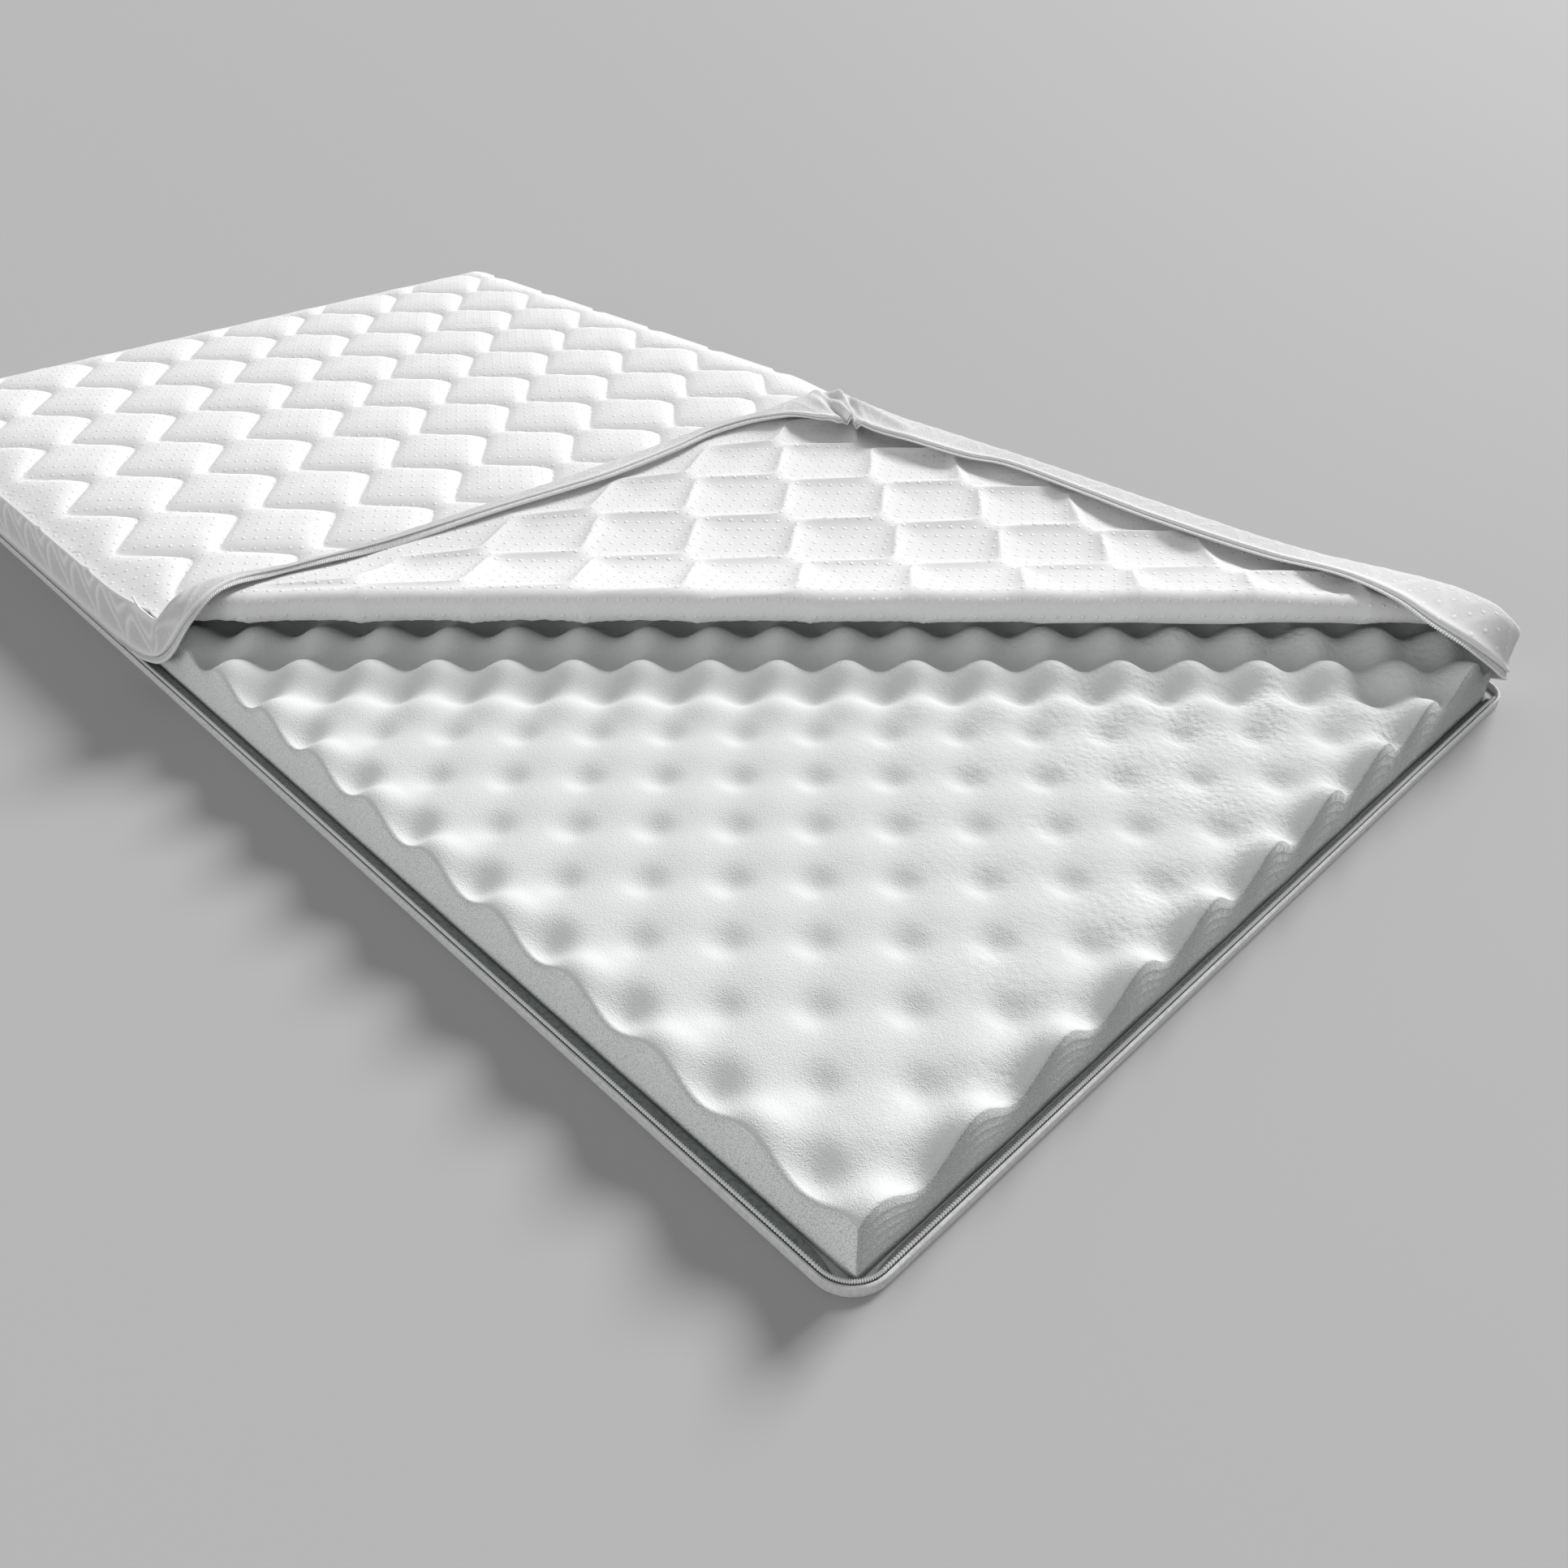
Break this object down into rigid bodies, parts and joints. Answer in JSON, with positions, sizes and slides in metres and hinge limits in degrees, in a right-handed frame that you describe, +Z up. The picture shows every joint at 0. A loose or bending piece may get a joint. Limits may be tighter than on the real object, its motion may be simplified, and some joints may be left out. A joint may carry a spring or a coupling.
{
  "type": "mattress topper",
  "caption": "Foam mattress topper in a zip-off quilted knit cover, one corner of the lid folded back over itself to show the egg-crate foam.",
  "frame": {"origin": "middle of the footprint, on the surface that the topper lies on", "axes": "+X along the short side, +Y along the long side, +Z up; the opened corner is at -X, -Y"},
  "size_m": [1, 1.9, 0.1307],
  "materials": {
    "knit_cover": "white quilted knit",
    "foam": "open-cell foam",
    "tape": "woven tape"
  },
  "bodies": {
    "root": {"bottom_panel": "knit_cover", "edge_binding": "tape", "lower_zip_tape": "tape", "foam_core": "foam", "top_panel": "knit_cover", "side_border": "knit_cover", "upper_zip_tape": "tape"}
  },
  "joints": []
}
